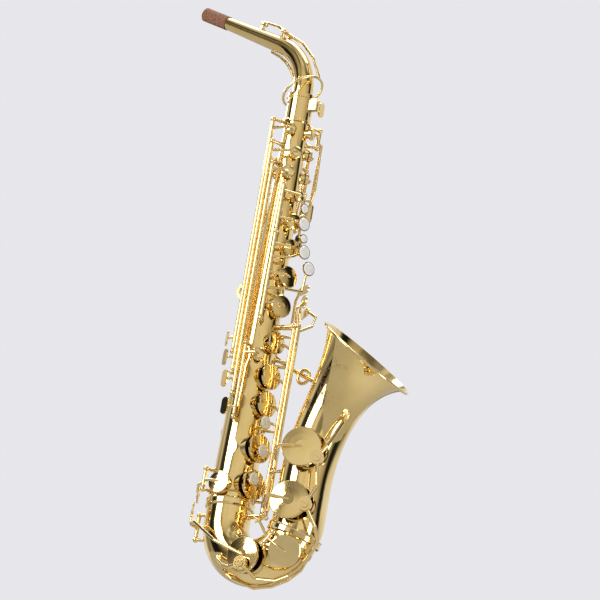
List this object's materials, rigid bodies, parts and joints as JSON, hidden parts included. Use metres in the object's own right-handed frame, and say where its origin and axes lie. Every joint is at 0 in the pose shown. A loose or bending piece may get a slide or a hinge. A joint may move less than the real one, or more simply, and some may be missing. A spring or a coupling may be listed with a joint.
{
  "type": "alto saxophone",
  "caption": "Alto saxophone: curved neck with cork, conical body, bow and flared bell, with hinged key work, pads, pearls and guards.",
  "frame": {"origin": "centre of the strap ring's hole, on the back of the body", "axes": "+Z along the body tube towards the neck, +X towards the bell, +Y towards the player's left hand"},
  "size_m": [0.3455, 0.1214, 0.7079],
  "materials": {
    "lacquered_brass": "clear gold lacquer, mirror polished",
    "key_brass": "clear gold lacquer, polished",
    "steel": "bright steel rods",
    "cork": "natural cork",
    "pearl": "mother of pearl",
    "pad": "pad skin",
    "felt": "felt bumper on a screw"
  },
  "bodies": {
    "root": {"body_tube": "lacquered_brass", "bow": "lacquered_brass", "bell": "lacquered_brass", "bell_rim_wire": "lacquered_brass", "body_ferrule": "lacquered_brass", "bell_ferrule": "lacquered_brass", "neck_receiver": "lacquered_brass", "neck_clamp_screw": "lacquered_brass", "neck_tube": "lacquered_brass", "neck_tenon": "lacquered_brass", "neck_brace": "lacquered_brass", "neck_cork": "cork", "stack_posts": "lacquered_brass", "side_key_posts": "lacquered_brass", "bell_key_posts": "lacquered_brass", "neck_key_saddle": "lacquered_brass", "hinge_rods": "steel", "strap_ring": "lacquered_brass", "thumb_hook": "lacquered_brass", "thumb_rest": "lacquered_brass", "bell_brace": "lacquered_brass", "key_guard": "lacquered_brass", "guard_bumpers": "felt"},
    "c_vent_key": {"c_vent_key": "key_brass"},
    "b_key": {"b_key": "key_brass", "b_pearl": "pearl"},
    "bis_key": {"bis_key": "key_brass"},
    "a_key": {"a_key": "key_brass", "a_pearl": "pearl"},
    "g_key": {"g_key": "key_brass", "g_pearl": "pearl"},
    "g_sharp_key": {"g_sharp_key": "key_brass"},
    "f_sharp_key": {"f_sharp_key": "key_brass"},
    "f_key": {"f_key": "key_brass", "f_pearl": "pearl"},
    "e_key": {"e_key": "key_brass", "e_pearl": "pearl"},
    "d_key": {"d_key": "key_brass", "d_pearl": "pearl"},
    "high_f_sharp_key": {"high_f_sharp_key": "key_brass"},
    "high_e_key": {"high_e_key": "key_brass"},
    "side_c_key": {"side_c_key": "key_brass"},
    "side_b_flat_key": {"side_b_flat_key": "key_brass"},
    "palm_f_key": {"palm_f_key": "key_brass"},
    "palm_e_flat_key": {"palm_e_flat_key": "key_brass"},
    "palm_d_key": {"palm_d_key": "key_brass"},
    "front_f_key": {"front_f_key": "key_brass"},
    "low_b_flat_key": {"low_b_flat_key": "key_brass", "low_b_flat_pad": "pad"},
    "low_b_key": {"low_b_key": "key_brass", "low_b_pad": "pad"},
    "low_c_sharp_lever": {"low_c_sharp_lever": "key_brass"},
    "low_c_sharp_key": {"low_c_sharp_key": "key_brass"},
    "e_flat_key": {"e_flat_key": "key_brass"},
    "low_c_key": {"low_c_key": "key_brass", "low_c_pad": "pad"},
    "octave_lever": {"octave_lever": "key_brass"},
    "body_octave_key": {"body_octave_key": "key_brass"},
    "neck_octave_key": {"neck_octave_key": "key_brass"}
  },
  "joints": [
    {"name": "c_vent_key_hinge", "type": "hinge", "parent": "root", "child": "c_vent_key", "pos_m": [0.04442, -0.0248, 0.093], "axis": [0, 0, 1], "range_deg": [0, 8], "stiffness_Nm_per_rad": 0.03, "springref_deg": -17.19},
    {"name": "b_key_hinge", "type": "hinge", "parent": "root", "child": "b_key", "pos_m": [0.04442, -0.0248, 0.065], "axis": [0, 0, 1], "range_deg": [0, 8], "stiffness_Nm_per_rad": 0.03, "springref_deg": -17.19},
    {"name": "bis_key_hinge", "type": "hinge", "parent": "root", "child": "bis_key", "pos_m": [0.04442, -0.0248, 0.0357], "axis": [0, 0, 1], "range_deg": [0, 8], "stiffness_Nm_per_rad": 0.03, "springref_deg": -17.19},
    {"name": "a_key_hinge", "type": "hinge", "parent": "root", "child": "a_key", "pos_m": [0.04442, -0.0248, -0.002], "axis": [0, 0, 1], "range_deg": [0, 8], "stiffness_Nm_per_rad": 0.03, "springref_deg": -17.19},
    {"name": "g_key_hinge", "type": "hinge", "parent": "root", "child": "g_key", "pos_m": [0.04442, -0.0248, -0.039], "axis": [0, 0, 1], "range_deg": [0, 8], "stiffness_Nm_per_rad": 0.03, "springref_deg": -17.19},
    {"name": "g_sharp_key_hinge", "type": "hinge", "parent": "root", "child": "g_sharp_key", "pos_m": [0.06262, 0.0181, -0.077], "axis": [0, 0, 1], "range_deg": [0, 8], "stiffness_Nm_per_rad": 0.03, "springref_deg": -17.19},
    {"name": "f_sharp_key_hinge", "type": "hinge", "parent": "root", "child": "f_sharp_key", "pos_m": [0.06262, 0.0181, -0.12], "axis": [0, 0, 1], "range_deg": [-8, 0], "stiffness_Nm_per_rad": 0.03, "springref_deg": 17.19},
    {"name": "f_key_hinge", "type": "hinge", "parent": "root", "child": "f_key", "pos_m": [0.06262, 0.0181, -0.1595], "axis": [0, 0, 1], "range_deg": [-8, 0], "stiffness_Nm_per_rad": 0.03, "springref_deg": 17.19},
    {"name": "e_key_hinge", "type": "hinge", "parent": "root", "child": "e_key", "pos_m": [0.06262, 0.0181, -0.212], "axis": [0, 0, 1], "range_deg": [-8, 0], "stiffness_Nm_per_rad": 0.03, "springref_deg": 17.19},
    {"name": "d_key_hinge", "type": "hinge", "parent": "root", "child": "d_key", "pos_m": [0.06262, 0.0181, -0.2426], "axis": [0, 0, 1], "range_deg": [-8, 0], "stiffness_Nm_per_rad": 0.03, "springref_deg": 17.19},
    {"name": "high_f_sharp_key_hinge", "type": "hinge", "parent": "root", "child": "high_f_sharp_key", "pos_m": [0.01377, -0.02306, -0.077], "axis": [0, 0, 1], "range_deg": [-8, 0], "stiffness_Nm_per_rad": 0.03, "springref_deg": 17.19},
    {"name": "high_e_key_hinge", "type": "hinge", "parent": "root", "child": "high_e_key", "pos_m": [0.01985, -0.02643, -0.103], "axis": [0, 0, 1], "range_deg": [-8, 0], "stiffness_Nm_per_rad": 0.03, "springref_deg": 17.19},
    {"name": "side_c_key_hinge", "type": "hinge", "parent": "root", "child": "side_c_key", "pos_m": [0.02656, -0.02822, -0.129], "axis": [0, 0, 1], "range_deg": [-8, 0], "stiffness_Nm_per_rad": 0.03, "springref_deg": 17.19},
    {"name": "side_b_flat_key_hinge", "type": "hinge", "parent": "root", "child": "side_b_flat_key", "pos_m": [0.0335, -0.02834, -0.157], "axis": [0, 0, 1], "range_deg": [-8, 0], "stiffness_Nm_per_rad": 0.03, "springref_deg": 17.19},
    {"name": "palm_f_key_hinge", "type": "hinge", "parent": "root", "child": "palm_f_key", "pos_m": [0.04926, 0.02081, 0.182], "axis": [0, 0, 1], "range_deg": [0, 8], "stiffness_Nm_per_rad": 0.03, "springref_deg": -17.19},
    {"name": "palm_e_flat_key_hinge", "type": "hinge", "parent": "root", "child": "palm_e_flat_key", "pos_m": [0.03539, 0.02757, 0.158], "axis": [0, 0, 1], "range_deg": [0, 8], "stiffness_Nm_per_rad": 0.03, "springref_deg": -17.19},
    {"name": "palm_d_key_hinge", "type": "hinge", "parent": "root", "child": "palm_d_key", "pos_m": [0.0373, 0.02717, 0.1285], "axis": [0, 0, 1], "range_deg": [0, 8], "stiffness_Nm_per_rad": 0.03, "springref_deg": -17.19},
    {"name": "front_f_key_hinge", "type": "hinge", "parent": "root", "child": "front_f_key", "pos_m": [0.04072, 0.0239, 0.092], "axis": [0, 0, 1], "range_deg": [-6, 0], "stiffness_Nm_per_rad": 0.03, "springref_deg": 17.19},
    {"name": "low_b_flat_key_hinge", "type": "hinge", "parent": "root", "child": "low_b_flat_key", "pos_m": [0.08052, -0.002, -0.213], "axis": [0, 0, 1], "range_deg": [0, 7], "stiffness_Nm_per_rad": 0.05, "springref_deg": -17.19},
    {"name": "low_b_key_hinge", "type": "hinge", "parent": "root", "child": "low_b_key", "pos_m": [0.07502, -0.001, -0.264], "axis": [0, 0, 1], "range_deg": [0, 7], "stiffness_Nm_per_rad": 0.05, "springref_deg": -17.19},
    {"name": "low_c_sharp_lever_hinge", "type": "hinge", "parent": "root", "child": "low_c_sharp_lever", "pos_m": [0.07552, 0.007, -0.264], "axis": [0, 0, 1], "range_deg": [0, 5], "stiffness_Nm_per_rad": 0.03, "springref_deg": -17.19},
    {"name": "low_c_sharp_key_hinge", "type": "hinge", "parent": "root", "child": "low_c_sharp_key", "pos_m": [0.1098, -0.03917, -0.31217], "axis": [0.6293, 0, 0.7771], "range_deg": [-7, 0], "stiffness_Nm_per_rad": 0.08, "springref_deg": 17.19},
    {"name": "e_flat_key_hinge", "type": "hinge", "parent": "root", "child": "e_flat_key", "pos_m": [0.00902, -0.0275, -0.241], "axis": [0, 0, 1], "range_deg": [-9, 0], "stiffness_Nm_per_rad": 0.03, "springref_deg": 17.19},
    {"name": "low_c_key_hinge", "type": "hinge", "parent": "root", "child": "low_c_key", "pos_m": [-0.00348, -0.006, -0.293], "axis": [0, 0, 1], "range_deg": [0, 4], "stiffness_Nm_per_rad": 0.06, "springref_deg": -17.19},
    {"name": "octave_lever_hinge", "type": "hinge", "parent": "root", "child": "octave_lever", "pos_m": [0.00972, 0.012, 0.108], "axis": [0, 0, 1], "range_deg": [0, 5], "stiffness_Nm_per_rad": 0.03, "springref_deg": -17.19},
    {"name": "body_octave_key_hinge", "type": "hinge", "parent": "root", "child": "body_octave_key", "pos_m": [0.01012, -0.0095, 0.14], "axis": [0, 0, 1], "range_deg": [0, 6], "stiffness_Nm_per_rad": 0.03, "springref_deg": -17.19},
    {"name": "neck_octave_key_hinge", "type": "hinge", "parent": "root", "child": "neck_octave_key", "pos_m": [-0.0033, -0.005, 0.31313], "axis": [0, 1, 0], "range_deg": [0, 2.8], "stiffness_Nm_per_rad": 0.12, "springref_deg": -17.19}
  ],
  "couplings": [
    {"joint": "bis_key_hinge", "follows": "a_key_hinge", "ratio": 1},
    {"joint": "c_vent_key_hinge", "follows": "a_key_hinge", "ratio": 1},
    {"joint": "f_sharp_key_hinge", "follows": "f_key_hinge", "ratio": 1},
    {"joint": "neck_octave_key_hinge", "follows": "octave_lever_hinge", "ratio": 0.56},
    {"joint": "low_c_sharp_key_hinge", "follows": "low_c_sharp_lever_hinge", "ratio": -1.4},
    {"joint": "palm_f_key_hinge", "follows": "front_f_key_hinge", "ratio": -1.3}
  ]
}
